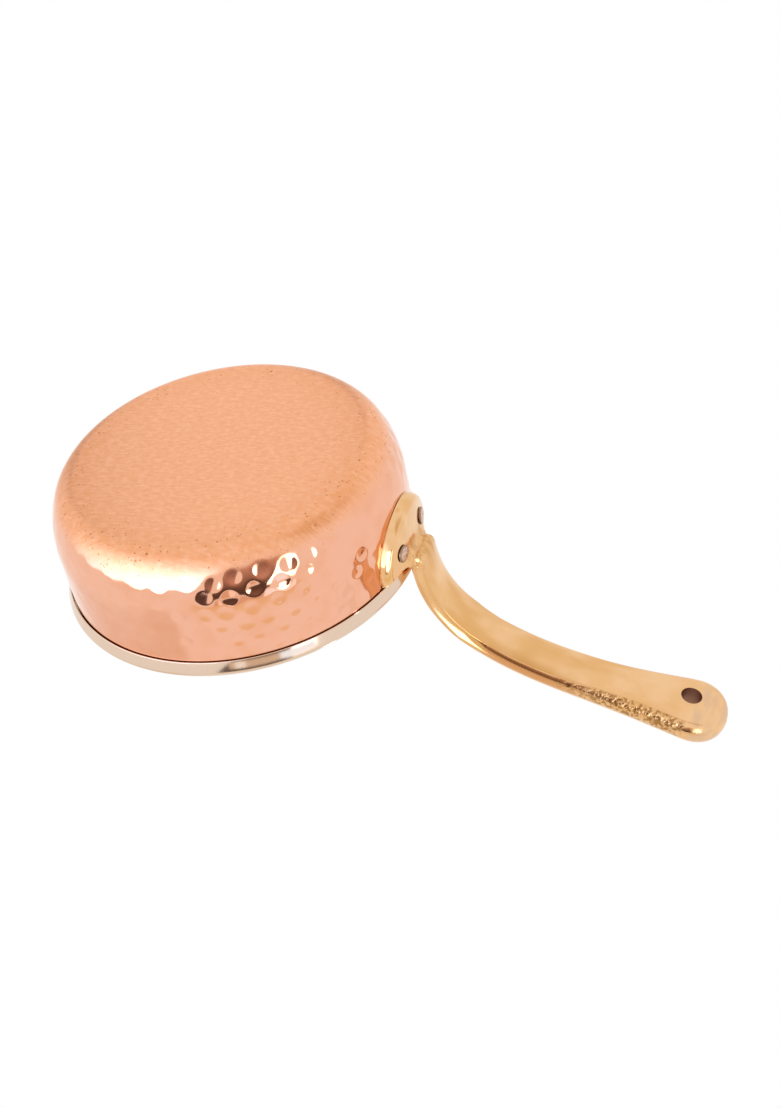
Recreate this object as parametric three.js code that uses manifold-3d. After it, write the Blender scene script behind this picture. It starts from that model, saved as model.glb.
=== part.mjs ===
// A small copper pan: a hammered copper bowl with a steel liner folded over its rim,
// and a cast brass handle held by two steel rivets.
// Millimetres, +Z up. The pan stands on its base at the origin and the handle points along +X.

import * as THREE from 'three';
import { mergeVertices } from 'three/addons/utils/BufferGeometryUtils.js';
import Module from 'manifold-3d';

const wasm = await Module();
wasm.setup();

// Bowl
const BOWL_RADIUS = 80; // outside of the copper wall
const PAN_HEIGHT = 58.2; // resting face to the top of the rim
const SHOULDER_INSET = 15.3; // how far the shoulder draws in to the flat base
const SHOULDER_RISE = 27; // height at which the shoulder meets the upright wall
const COPPER_WALL = 1.5;
const LINER_WALL = 0.8;
const SEAT_GAP = 0.3; // left between pieces that touch

// Rim, the liner's edge folded out over the copper
const RIM_DEPTH = 7; // height of the folded band outside
const RIM_WALL = 2.3; // thickness of the folded band at the lip
const RIM_FOOT = 0.7; // and at its thin lower edge
const RIM_CROWN = 2; // steel above the copper's edge
const RIM_ROUND = 1.9; // rounding of the crown
const RIM_HEM = 0.3; // rounding of the band's lower edge

// Handle plate, a half moon bent to the wall
const PLATE_HALF_WIDTH = 26; // along the wall
const PLATE_DEPTH = 27; // down from its straight edge
const PLATE_WALL = 4.7;
const PLATE_ROUND = 3.2; // rounding of its outer edge
const PLATE_CLEARANCE = 0.6; // below the folded band

// Handle stem, from the plate past the rim to the tip
const RIM_CLEARANCE = 1; // between the band and the stem
const NECK_DROP = 0.7; // neck below the top of the rim
const ROOT_LAP = 4.4; // stem's lower end below the plate's straight edge
const STEM_REACH = 129.4; // neck to tip, outwards
const STEM_LIFT = 79; // neck to tip, upwards
const NECK_ANGLE = 83.8; // degrees above level
const TIP_ANGLE = 16.5;
const NECK_BEND = 50.3; // lengths that shape the sweep of the stem
const TIP_BEND = 58.8;
const NECK_WIDTH = 19.4;
const GRIP_WIDTH = 21.6;
const GRIP_PLACE = 0.3; // share of the sweep from neck to tip
const WAIST_WIDTH = 23.8; // where the end begins to spread
const WAIST_PLACE = 0.65;
const PADDLE_WIDTH = 32.9;
const NECK_THICKNESS = 9;
const GRIP_THICKNESS = 11;
const PADDLE_THICKNESS = 12.4;
const SIDE_ROUND = 1.02; // radius of the stem's sides, as a share of its half thickness
const SIDE_TURN = 42; // degrees from level at which a side meets a face
const ROOT_ROUND = 3.6; // rounding of the stem's lower end
const COVE_SPREAD = 7; // cove between stem and plate, sideways
const COVE_DROP = 4; // downwards
const COVE_HEIGHT = 4.5; // and outwards
const TIP_FLAT = 0.1; // left flat at the very tip

// Hanging hole
const HOLE_DIAMETER = 9.4;
const HOLE_FROM_TIP = 18;
const HOLE_OFFSET = -2.5; // a little off the middle line

// Rivets
const RIVET_HALF_SPACING = 13.2; // along the wall
const RIVET_BELOW_EDGE = 10.6; // below the plate's straight edge
const SHANK_DIAMETER = 5;
const INNER_HEAD_DIAMETER = 10;
const INNER_HEAD_HEIGHT = 1.6;
const OUTER_HEAD_DIAMETER = 8;
const OUTER_HEAD_HEIGHT = 1.1;
const HEAD_EDGE = 0.35; // upright edge under the dome, as a share of a head's height

// Fineness
const BOWL_SIDES = 64;
const SHOULDER_STEPS = 8;
const ROUND_STEPS = 4;
const SIDE_STEPS = 8;
const FACE_STEPS = 6;
const STEM_STEPS = 24;
const END_STEPS = 6;
const EDGE_STEPS = 20;
const RIVET_SIDES = 24;

// Radii and heights that follow
const linerOffset = COPPER_WALL + SEAT_GAP;
const insideOffset = linerOffset + LINER_WALL;
const linerInside = BOWL_RADIUS - insideOffset;
const bandInside = BOWL_RADIUS + SEAT_GAP;
const bandOutside = bandInside + RIM_WALL;
const footOutside = bandInside + RIM_FOOT;
const bandFoot = PAN_HEIGHT - RIM_DEPTH;
const hemPocket = PAN_HEIGHT - RIM_CROWN;
const copperEdge = hemPocket - SEAT_GAP;
const plateInside = BOWL_RADIUS + SEAT_GAP;
const plateOutside = plateInside + PLATE_WALL;
const plateEdge = bandFoot - PLATE_CLEARANCE;
const rivetHeight = plateEdge - RIVET_BELOW_EDGE;
const rivetTurn = RIVET_HALF_SPACING / plateOutside;
const neckRadius = bandOutside + RIM_CLEARANCE + NECK_THICKNESS / 2;
const neckHeight = PAN_HEIGHT - NECK_DROP;
const rootLength = (neckHeight - plateEdge + ROOT_LAP) / Math.sin(THREE.MathUtils.degToRad(NECK_ANGLE));

// Roundings, held inside the walls that carry them
const plateRound = Math.min(PLATE_ROUND, 0.9 * PLATE_WALL);
const rimRound = Math.min(RIM_ROUND, 0.48 * (bandOutside - linerInside));
const rimHem = Math.min(RIM_HEM, 0.45 * RIM_FOOT);
const rootRound = Math.min(ROOT_ROUND, 0.45 * NECK_THICKNESS);

// A three.js geometry as a solid that can be joined and cut
function toSolid(geometry) {
  const bare = geometry.clone();
  for (const name of Object.keys(bare.attributes)) {
    if (name !== 'position') bare.deleteAttribute(name);
  }
  const merged = mergeVertices(bare, 1e-4);
  const index = merged.index.array;
  const triangles = [];
  for (let i = 0; i < index.length; i += 3) {
    const [a, b, c] = [index[i], index[i + 1], index[i + 2]];
    if (a !== b && b !== c && c !== a) triangles.push(a, b, c);
  }
  const vertProperties = new Float32Array(merged.attributes.position.array);
  const triVerts = new Uint32Array(triangles);
  return new wasm.Manifold(new wasm.Mesh({ numProp: 3, vertProperties, triVerts }));
}

function toGeometry(solid) {
  const mesh = solid.getMesh();
  const geometry = new THREE.BufferGeometry();
  geometry.setAttribute('position', new THREE.BufferAttribute(mesh.vertProperties, 3));
  geometry.setIndex(new THREE.BufferAttribute(mesh.triVerts, 1));
  geometry.computeVertexNormals();
  return geometry;
}

// A closed body through rings of points, with a fan over each end
function loft(rings) {
  const sides = rings[0].length;
  const points = rings.flat();
  const index = [];
  for (let ring = 0; ring + 1 < rings.length; ring++) {
    for (let side = 0; side < sides; side++) {
      const next = (side + 1) % sides;
      const [a, b] = [ring * sides + side, ring * sides + next];
      const [c, d] = [a + sides, b + sides];
      index.push(a, b, d, a, d, c);
    }
  }
  const fan = (ring, reverse) => {
    const middle = new THREE.Vector3();
    rings[ring].forEach((point) => middle.addScaledVector(point, 1 / sides));
    points.push(middle);
    const hub = points.length - 1;
    for (let side = 0; side < sides; side++) {
      const a = ring * sides + side;
      const b = ring * sides + ((side + 1) % sides);
      index.push(...(reverse ? [hub, b, a] : [hub, a, b]));
    }
  };
  fan(0, true);
  fan(rings.length - 1, false);
  const geometry = new THREE.BufferGeometry();
  geometry.setFromPoints(points);
  geometry.setIndex(index);
  return geometry;
}

// Points on a quarter round from one angle to another, in turns of 90 degrees
function quarter(x, y, radius, fromTurn, toTurn) {
  const points = [];
  for (let step = 0; step <= ROUND_STEPS; step++) {
    const angle = THREE.MathUtils.lerp(fromTurn, toTurn, step / ROUND_STEPS) * Math.PI / 2;
    points.push(new THREE.Vector2(x + radius * Math.cos(angle), y + radius * Math.sin(angle)));
  }
  return points;
}

// The bowl's outline from the middle of its base to the top of the shoulder, moved inwards by offset
function bowlOutline(offset) {
  const points = [new THREE.Vector2(0, offset)];
  for (let step = 0; step <= SHOULDER_STEPS; step++) {
    const angle = (1 - step / SHOULDER_STEPS) * Math.PI / 2;
    const onShoulder = new THREE.Vector2(
      BOWL_RADIUS - SHOULDER_INSET + SHOULDER_INSET * Math.cos(angle),
      SHOULDER_RISE - SHOULDER_RISE * Math.sin(angle),
    );
    const outwards = new THREE.Vector2(Math.cos(angle) / SHOULDER_INSET, -Math.sin(angle) / SHOULDER_RISE);
    points.push(onShoulder.addScaledVector(outwards.normalize(), -offset));
  }
  return points;
}

// A round bar along each rivet, used to drill every piece that the rivet passes
function rivetDrills() {
  const length = 2 * (plateOutside - linerInside) + INNER_HEAD_DIAMETER;
  return [-rivetTurn, rivetTurn].map((turn) => {
    const bar = new THREE.CylinderGeometry(
      SHANK_DIAMETER / 2 + SEAT_GAP, SHANK_DIAMETER / 2 + SEAT_GAP, length, RIVET_SIDES);
    bar.rotateZ(Math.PI / 2);
    bar.translate((plateOutside + linerInside) / 2, 0, rivetHeight);
    bar.rotateZ(turn);
    return toSolid(bar);
  });
}

function drilled(solid) {
  return rivetDrills().reduce((body, drill) => body.subtract(drill), solid);
}

function bowlSolid(profile) {
  const geometry = new THREE.LatheGeometry(profile, BOWL_SIDES);
  geometry.rotateX(Math.PI / 2);
  return toSolid(geometry);
}

function copperShell() {
  const outside = bowlOutline(0);
  const inside = bowlOutline(COPPER_WALL).reverse();
  const profile = [
    ...outside,
    new THREE.Vector2(BOWL_RADIUS, copperEdge),
    new THREE.Vector2(BOWL_RADIUS - COPPER_WALL, copperEdge),
    ...inside,
  ];
  return toGeometry(drilled(bowlSolid(profile)));
}

function steelLiner() {
  const profile = [
    ...bowlOutline(linerOffset),
    new THREE.Vector2(BOWL_RADIUS - linerOffset, hemPocket),
    new THREE.Vector2(bandInside, hemPocket),
    ...quarter(bandInside + rimHem, bandFoot + rimHem, rimHem, -2, -1),
    ...quarter(footOutside - rimHem, bandFoot + rimHem, rimHem, -1, 0),
    ...quarter(bandOutside - rimRound, PAN_HEIGHT - rimRound, rimRound, 0, 1),
    ...quarter(linerInside + rimRound, PAN_HEIGHT - rimRound, rimRound, 1, 2),
    ...bowlOutline(insideOffset).reverse(),
  ];
  return toGeometry(drilled(bowlSolid(profile)));
}

// A half moon with its straight edge on top, as points along the wall and down from the plate's edge
function halfMoon(halfWidth, depth, drop = 0) {
  const points = [];
  for (let step = 0; step <= EDGE_STEPS; step++) {
    const angle = Math.PI * step / EDGE_STEPS;
    points.push(new THREE.Vector2(-halfWidth * Math.cos(angle), drop + depth * Math.sin(angle)));
  }
  for (let step = 1; step < EDGE_STEPS; step++) {
    points.push(new THREE.Vector2(halfWidth * (1 - 2 * step / EDGE_STEPS), drop));
  }
  return points;
}

// Bends flat points round the pan's axis at a radius
function bent(points, radius) {
  return points.map((point) => {
    const turn = point.x / plateInside;
    return new THREE.Vector3(radius * Math.cos(turn), radius * Math.sin(turn), plateEdge - point.y);
  });
}

function handlePlate() {
  const drawnIn = (inset) => halfMoon(PLATE_HALF_WIDTH - inset, PLATE_DEPTH - 2 * inset, inset);
  const heart = new THREE.Vector2(0, PLATE_DEPTH / 2);
  const towardsHeart = (points, share) => points.map((point) => point.clone().lerp(heart, share));
  const shares = [0.25, 0.5, 0.75, 0.98]; // rings that bend the flat of the plate with the wall
  const back = drawnIn(0);
  const face = drawnIn(plateRound);
  const rings = shares.toReversed().map((share) => bent(towardsHeart(back, share), plateInside));
  rings.push(bent(back, plateInside));
  for (let step = 0; step <= ROUND_STEPS; step++) {
    const angle = Math.PI / 2 * step / ROUND_STEPS;
    const inset = plateRound * (1 - Math.cos(angle));
    rings.push(bent(drawnIn(inset), plateOutside - plateRound * (1 - Math.sin(angle))));
  }
  rings.push(...shares.map((share) => bent(towardsHeart(face, share), plateOutside)));
  return loft(rings);
}

// The cove that spreads the stem's root over the plate
function handleCove() {
  const topHalfWidth = NECK_WIDTH / 2 - rootRound / 2;
  const topDepth = ROOT_LAP - rootRound / 4;
  const rings = [bent(halfMoon(topHalfWidth + COVE_SPREAD, topDepth + COVE_DROP), plateOutside - plateRound)];
  for (let step = 0; step <= ROUND_STEPS; step++) {
    const angle = Math.PI / 2 * step / ROUND_STEPS;
    const spread = 1 - Math.sin(angle);
    const height = COVE_HEIGHT * (1 - Math.cos(angle));
    const shape = halfMoon(topHalfWidth + COVE_SPREAD * spread, topDepth + COVE_DROP * spread);
    rings.push(bent(shape, plateOutside + height));
  }
  return loft(rings);
}

// The stem's middle line: straight up the plate, then one sweep out to the tip
function stemLine() {
  const along = (degrees) => {
    const angle = THREE.MathUtils.degToRad(degrees);
    return new THREE.Vector3(Math.cos(angle), 0, Math.sin(angle));
  };
  const neck = new THREE.Vector3(neckRadius, 0, neckHeight);
  const tip = neck.clone().add(new THREE.Vector3(STEM_REACH, 0, STEM_LIFT));
  const root = neck.clone().addScaledVector(along(NECK_ANGLE), -rootLength);
  const line = new THREE.CurvePath();
  line.add(new THREE.LineCurve3(root, neck));
  line.add(new THREE.CubicBezierCurve3(
    neck,
    neck.clone().addScaledVector(along(NECK_ANGLE), NECK_BEND),
    tip.clone().addScaledVector(along(TIP_ANGLE), -TIP_BEND),
    tip,
  ));
  return line;
}

function stemFrame(line, distance) {
  const share = distance / line.getLength();
  const middle = line.getPointAt(share);
  const ahead = line.getTangentAt(share);
  const face = new THREE.Vector3(-ahead.z, 0, ahead.x);
  return { middle, face };
}

// The stem's section as points across it and out from its middle: round sides, and crowned faces
// that meet them at an arris
function stemSection(halfWidth, halfThickness) {
  const turn = THREE.MathUtils.degToRad(SIDE_TURN);
  const sideRadius = SIDE_ROUND * halfThickness;
  const half = [];
  for (let step = 0; step <= SIDE_STEPS; step++) {
    const angle = THREE.MathUtils.lerp(-turn, turn, step / SIDE_STEPS);
    const across = halfWidth - sideRadius * (1 - Math.cos(angle));
    half.push(new THREE.Vector2(across, sideRadius * Math.sin(angle)));
  }
  const arris = half.at(-1);
  const crown = halfThickness - arris.y;
  for (let step = 1; step < FACE_STEPS; step++) {
    const share = 1 - 2 * step / FACE_STEPS;
    half.push(new THREE.Vector2(arris.x * share, halfThickness - crown * share ** 2));
  }
  return [...half, ...half.map((place) => place.clone().negate())];
}

function handleStem() {
  const line = stemLine();
  const length = line.getLength();
  const sweep = length - rootLength;
  const tipRadius = PADDLE_WIDTH / 2;
  const widths = new THREE.CubicInterpolant(
    [rootLength, rootLength + sweep * GRIP_PLACE, rootLength + sweep * WAIST_PLACE, length - tipRadius],
    [NECK_WIDTH, GRIP_WIDTH, WAIST_WIDTH, PADDLE_WIDTH], 1);
  const thicknesses = new THREE.CubicInterpolant(
    [rootLength, rootLength + sweep / 2, length - tipRadius],
    [NECK_THICKNESS, GRIP_THICKNESS, PADDLE_THICKNESS], 1);
  const distances = [];
  for (let step = 0; step < END_STEPS; step++) {
    distances.push(rootRound * (1 - Math.cos(Math.PI / 2 * step / END_STEPS)));
  }
  for (let step = 0; step <= STEM_STEPS; step++) {
    distances.push(THREE.MathUtils.lerp(rootRound, length - tipRadius, step / STEM_STEPS));
  }
  for (let step = 1; step < END_STEPS; step++) {
    distances.push(length - tipRadius * (1 - Math.sin(Math.PI / 2 * step / END_STEPS)));
  }
  distances.push(length - TIP_FLAT);
  const rings = distances.map((distance) => {
    const { middle, face } = stemFrame(line, distance);
    const rootShare = Math.max(0, 1 - distance / rootRound);
    const tipShare = Math.max(0, 1 - (length - distance) / tipRadius);
    const drawnIn = rootRound * (1 - Math.sqrt(1 - rootShare ** 2));
    const halfWidth = widths.evaluate(distance)[0] / 2 * Math.sqrt(1 - tipShare ** 2) - drawnIn;
    const halfThickness = thicknesses.evaluate(distance)[0] / 2 * Math.sqrt(1 - tipShare ** 4) - drawnIn;
    return stemSection(halfWidth, halfThickness).map((place) => {
      const point = middle.clone().addScaledVector(face, place.y);
      point.y += place.x;
      return point;
    });
  });
  return loft(rings);
}

function hangingDrill() {
  const line = stemLine();
  const { middle, face } = stemFrame(line, line.getLength() - HOLE_FROM_TIP);
  const bar = new THREE.CylinderGeometry(
    HOLE_DIAMETER / 2, HOLE_DIAMETER / 2, 2 * PADDLE_THICKNESS, RIVET_SIDES);
  bar.applyQuaternion(new THREE.Quaternion().setFromUnitVectors(new THREE.Vector3(0, 1, 0), face));
  bar.translate(middle.x, HOLE_OFFSET, middle.z);
  return toSolid(bar);
}

function brassHandle() {
  const casting = toSolid(handlePlate()).add(toSolid(handleCove())).add(toSolid(handleStem()));
  return toGeometry(drilled(casting).subtract(hangingDrill()));
}

// A rivet along its own axis, with heights measured from the pan's axis
function rivet() {
  const shank = SHANK_DIAMETER / 2;
  const innerHead = INNER_HEAD_DIAMETER / 2;
  const outerHead = OUTER_HEAD_DIAMETER / 2;
  const sag = linerInside - Math.sqrt(linerInside ** 2 - innerHead ** 2);
  const innerSeat = linerInside - sag - SEAT_GAP;
  const outerSeat = plateOutside + SEAT_GAP;
  const dome = (seat, radius, height) => {
    const points = [new THREE.Vector2(radius, seat)];
    for (let step = 0; step <= ROUND_STEPS; step++) {
      const angle = Math.PI / 2 * step / ROUND_STEPS;
      const rise = height * THREE.MathUtils.lerp(HEAD_EDGE, 1, Math.sin(angle));
      points.push(new THREE.Vector2(step < ROUND_STEPS ? radius * Math.cos(angle) : 0, seat + rise));
    }
    return points;
  };
  const profile = [
    ...dome(innerSeat, innerHead, -INNER_HEAD_HEIGHT).reverse(),
    new THREE.Vector2(shank, innerSeat),
    new THREE.Vector2(shank, outerSeat),
    ...dome(outerSeat, outerHead, OUTER_HEAD_HEIGHT),
  ];
  return new THREE.LatheGeometry(profile, RIVET_SIDES);
}

const copper = new THREE.MeshStandardMaterial({ color: 0xdb8a67, metalness: 1, roughness: 0.28 });
const steel = new THREE.MeshStandardMaterial({ color: 0xd8d2cc, metalness: 1, roughness: 0.22 });
const brass = new THREE.MeshStandardMaterial({ color: 0xdca863, metalness: 1, roughness: 0.2 });
const rivetSteel = new THREE.MeshStandardMaterial({ color: 0xb9aeb0, metalness: 1, roughness: 0.35 });

const pan = new THREE.Group();

function addPiece(name, geometry, material) {
  const mesh = new THREE.Mesh(geometry, material);
  mesh.name = name;
  pan.add(mesh);
  return mesh;
}

addPiece('copper_shell', copperShell(), copper);
addPiece('steel_liner', steelLiner(), steel);
addPiece('brass_handle', brassHandle(), brass);

for (const [name, turn] of [['rivet_left', -rivetTurn], ['rivet_right', rivetTurn]]) {
  const mesh = addPiece(name, rivet(), rivetSteel);
  mesh.position.z = rivetHeight;
  mesh.rotation.z = turn - Math.PI / 2;
}

export default pan;
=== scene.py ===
import math

import bpy
import numpy as np
from mathutils import Matrix, Vector, noise


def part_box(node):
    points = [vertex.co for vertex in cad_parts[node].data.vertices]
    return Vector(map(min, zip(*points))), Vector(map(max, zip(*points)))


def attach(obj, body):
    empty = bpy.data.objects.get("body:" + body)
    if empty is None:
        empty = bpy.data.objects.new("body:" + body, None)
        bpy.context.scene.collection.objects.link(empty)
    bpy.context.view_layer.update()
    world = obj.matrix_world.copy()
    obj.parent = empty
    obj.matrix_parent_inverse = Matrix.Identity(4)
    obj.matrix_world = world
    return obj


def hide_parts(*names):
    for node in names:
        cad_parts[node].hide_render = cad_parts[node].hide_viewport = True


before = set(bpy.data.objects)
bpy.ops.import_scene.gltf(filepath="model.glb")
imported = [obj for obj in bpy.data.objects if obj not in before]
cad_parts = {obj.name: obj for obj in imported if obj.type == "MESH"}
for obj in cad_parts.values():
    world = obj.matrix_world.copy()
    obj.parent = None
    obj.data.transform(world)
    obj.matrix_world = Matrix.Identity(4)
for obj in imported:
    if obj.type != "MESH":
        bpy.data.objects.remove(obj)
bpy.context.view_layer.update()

# Copper shell
# The bowl of the pan, raised from one sheet of copper. The base is brushed flat, and the wall is
# beaten all round with a ball hammer, which leaves rows of shallow dimples, and then polished.

_, shell_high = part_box("copper_shell")
BOWL_RADIUS = shell_high.x
COPPER_EDGE = shell_high.z
COPPER_WALL = 0.0015
SHOULDER_INSET = 0.0153
SHOULDER_RISE = 0.027
SHOULDER_STEPS = 200
SHELL_SIDES = 640
SHELL_STEP = 0.0008
BASE_RINGS = 9
INNER_RINGS = 10
CRISP_ANGLE = math.radians(40)
HAMMER_SEED = 12
HAMMER_FIRST = 0.0172  # first and last row, along the outline from the flat base
HAMMER_LAST = 0.0550
HAMMER_ROW_PITCH = 0.0074
HAMMER_PITCH = 0.0107
HAMMER_RADIUS = (0.0034, 0.0041)
HAMMER_NARROWING = 0.04  # share of the radius lost with each row
HAMMER_DEPTH = (0.00042, 0.00062)
HAMMER_FADE = 0.11  # share of the depth lost with each row
HAMMER_WANDER = 0.0012
HAMMER_EDGE = 0.03  # how softly a dent runs out
HAMMER_HARD = math.radians(50)  # the middle of the hard blows in front
HAMMER_FOCUS = 6  # how fast they get softer to both sides
HAMMER_SOFT = 0.26  # share of the depth that soft blows have
PLATE_SEAT = (0.028, 0.029)  # half width and depth of the smooth place under the plate
PLATE_TOP = 0.0506
COPPER_BASE = (0.92, 0.440, 0.240)
COPPER_PALE = (0.97, 0.500, 0.295)
COPPER_DEEP = (0.86, 0.385, 0.190)
COPPER_TAN = (0.87, 0.385, 0.180)
# The wall's copper with a painted tint of the pale, cool light that it reflects
COPPER_WALL_REFLECTED_TINT = (0.90, 0.470, 0.315)
COPPER_WALL_WARM = (0.86, 0.405, 0.235)
COPPER_STAIN = (0.48, 0.150, 0.050)
SEAM_STAIN = (0.17, 0.055, 0.022)
SEAM_BELOW_EDGE = (0.0052, 0.0049)  # start and end of the dark line at the foot of the band
WALL_HEIGHTS = (0.003, 0.011)  # where the brushed base turns into the polished wall
TAN_RADII = (0.046, 0.068)  # the tan ring round the base
TAN_HEIGHTS = (0.010, 0.002)
STAIN_RADII = (0.048, 0.065)  # the stained ring round the base
STAIN_HEIGHTS = (0.013, 0.007)
# Patterns: patches per metre, their detail and, where needed, their stretch and turn
BASE_MOTTLE = (420, 5)
TAN_MOTTLE = (300, 5)
WALL_MOTTLE = (85, 3)
STAIN_CLUSTERS = (55, 2)
BRUSH_MARKS = (210, 4, (1, 4.5, 1), math.radians(8))
# Contrasts: where in a pattern a shade starts and is full, and its least and most share if not 0 and 1
BASE_CONTRAST = (0.36, 0.64)
STREAK_CONTRAST = (0.60, 0.36, 0, 0.7)
TAN_CONTRAST = (0.30, 0.80)
WARM_CONTRAST = (0.40, 0.68, 0, 0.55)
STAIN_CONTRAST = (0.40, 0.56, 0.2, 0.9)
SATIN_CONTRAST = (0.3, 0.7)
# Specks: cells per metre, the share of them that have a speck, and its size in cells
COARSE_STAINS = (420, 0.14, 0.34)
FINE_STAINS = (800, 0.22, 0.42)
BRUSH_DEPTH = 0.00005
BRUSHED_ROUGHNESS = (0.26, 0.38)
WALL_ROUGHNESS = 0.07


def shoulder_line(steps, inwards=0.0):
    """Radii and heights round the shoulder from base to wall, at a distance inside its outer face."""
    line = []
    for angle in np.linspace(0, math.pi / 2, steps):
        across = math.sin(angle) / SHOULDER_INSET
        down = -math.cos(angle) / SHOULDER_RISE
        length = math.hypot(across, down)
        radius = BOWL_RADIUS - SHOULDER_INSET + SHOULDER_INSET * math.sin(angle)
        height = SHOULDER_RISE - SHOULDER_RISE * math.cos(angle)
        line.append((radius - inwards * across / length, height - inwards * down / length))
    return line


def distances(points):
    """The distance along a line of points to each of them."""
    return np.concatenate([[0], np.cumsum(np.linalg.norm(np.diff(points, axis=0), axis=1))])


def point_at(place, points, lengths):
    """The point at a distance along a line of points, or the points at several distances."""
    return np.stack([np.interp(place, lengths, axis) for axis in points.T], -1)


def evenly(points, step):
    """Points along a line of points, spaced by about one step, with both ends kept."""
    points = np.array(points, float)
    lengths = distances(points)
    places = np.linspace(0, lengths[-1], max(2, round(lengths[-1] / step) + 1))
    return point_at(places, points, lengths)


def turns_of(sides):
    """Angles all round, one for each side."""
    return np.arange(sides) * 2 * math.pi / sides


def turned(outline, sides):
    """Rings of points of an outline of radii and heights that is turned round the upright axis, and
    the points where the outline starts and ends on that axis."""
    turns = turns_of(sides)
    rings = np.array(outline[1:-1], float)
    points = np.stack([
        rings[:, :1] * np.cos(turns),
        rings[:, :1] * np.sin(turns),
        np.repeat(rings[:, 1:], sides, 1),
    ], 2)
    ends = np.array([[0, 0, outline[0][1]], [0, 0, outline[-1][1]]])
    return points, ends


def tube_faces(rings, sides):
    """Faces between rings of points, with a fan over each end from a point that follows the rings."""
    faces = []
    for ring in range(rings - 1):
        for side in range(sides):
            a = ring * sides + side
            b = ring * sides + (side + 1) % sides
            faces.append((a, b, b + sides, a + sides))
    start = rings * sides
    for side in range(sides):
        after = (side + 1) % sides
        faces.append((start, after, side))
        faces.append((start + 1, start - sides + side, start - sides + after))
    return faces


def smooth(piece):
    """Shades a piece smooth, with its crisp edges kept."""
    piece.data.shade_smooth()
    piece.data.set_sharp_from_angle(angle=CRISP_ANGLE)


def put_in_scene(name, data):
    piece = bpy.data.objects.new(name, data)
    bpy.context.scene.collection.objects.link(piece)
    return piece


def new_piece(name, points, faces):
    mesh = bpy.data.meshes.new(name)
    mesh.from_pydata(points.tolist(), [], faces)
    mesh.validate()
    piece = put_in_scene(name, mesh)
    smooth(piece)
    return piece


def turned_piece(name, rings, ends):
    points = np.concatenate([rings.reshape(-1, 3), ends])
    return new_piece(name, points, tube_faces(*rings.shape[:2]))


hammered = evenly(shoulder_line(SHOULDER_STEPS) + [(BOWL_RADIUS, COPPER_EDGE)], SHELL_STEP)
base_rings = [(radius, 0.0) for radius in np.linspace(0, hammered[0][0], BASE_RINGS + 1)[1:-1]]
shell_outline = [
    (0, 0), *base_rings, *hammered.tolist(),
    (BOWL_RADIUS - COPPER_WALL, COPPER_EDGE), *reversed(shoulder_line(INNER_RINGS, COPPER_WALL)),
    (0, COPPER_WALL),
]
shell_rings, shell_ends = turned(shell_outline, SHELL_SIDES)


def hammer_dents():
    """The depth of the dents at each point of the hammered rings. The blows are hard in front and
    at the back, softer between and towards the rim, and none falls where the handle's plate lies."""
    lengths = distances(hammered)
    turns = turns_of(SHELL_SIDES)
    beating = np.random.default_rng(HAMMER_SEED)
    dents = np.zeros((len(hammered), SHELL_SIDES))
    for row, place in enumerate(np.arange(HAMMER_FIRST, HAMMER_LAST, HAMMER_ROW_PITCH)):
        row_radius, row_height = point_at(place, hammered, lengths)
        blows = round(2 * math.pi * row_radius / HAMMER_PITCH)
        for blow in range(blows):
            turn = 2 * math.pi * (blow + 0.5 * (row % 2)) / blows
            turn += beating.uniform(-HAMMER_WANDER, HAMMER_WANDER) / row_radius
            along = lengths - place - beating.uniform(-HAMMER_WANDER, HAMMER_WANDER)
            radius = beating.uniform(*HAMMER_RADIUS) * (1 - HAMMER_NARROWING * row)
            deepest = beating.uniform(*HAMMER_DEPTH) * (1 - HAMMER_FADE * row)
            hard_in_front = max(0, math.cos(turn - HAMMER_HARD)) ** HAMMER_FOCUS
            hard_behind = math.sqrt(max(0, -math.sin(turn)))
            deepest *= HAMMER_SOFT + (1 - HAMMER_SOFT) * max(hard_in_front, hard_behind)
            beside = math.atan2(math.sin(turn), math.cos(turn)) * BOWL_RADIUS
            below = PLATE_TOP - row_height
            if (beside / PLATE_SEAT[0]) ** 2 + (below / PLATE_SEAT[1]) ** 2 < 1:
                continue
            across = (turns - turn + math.pi) % (2 * math.pi) - math.pi
            share = 1 - (along[:, None] ** 2 + (across * row_radius) ** 2) / radius ** 2
            dent = deepest * (share + np.sqrt(share ** 2 + HAMMER_EDGE)) / 2
            dents = np.maximum(dents, np.where(share > -1, dent, 0))
    return dents


def beat_wall():
    """Sinks the dents into the hammered rings, at right angles to the wall."""
    dents = hammer_dents()
    turns = turns_of(SHELL_SIDES)
    slopes = np.gradient(hammered, axis=0)
    slopes /= np.linalg.norm(slopes, axis=1, keepdims=True)
    beaten = shell_rings[len(base_rings):len(base_rings) + len(hammered)]
    beaten[:, :, 0] -= dents * slopes[:, 1:] * np.cos(turns)
    beaten[:, :, 1] -= dents * slopes[:, 1:] * np.sin(turns)
    beaten[:, :, 2] += dents * slopes[:, :1]


beat_wall()
shell = turned_piece("hammered_shell", shell_rings, shell_ends)


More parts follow.
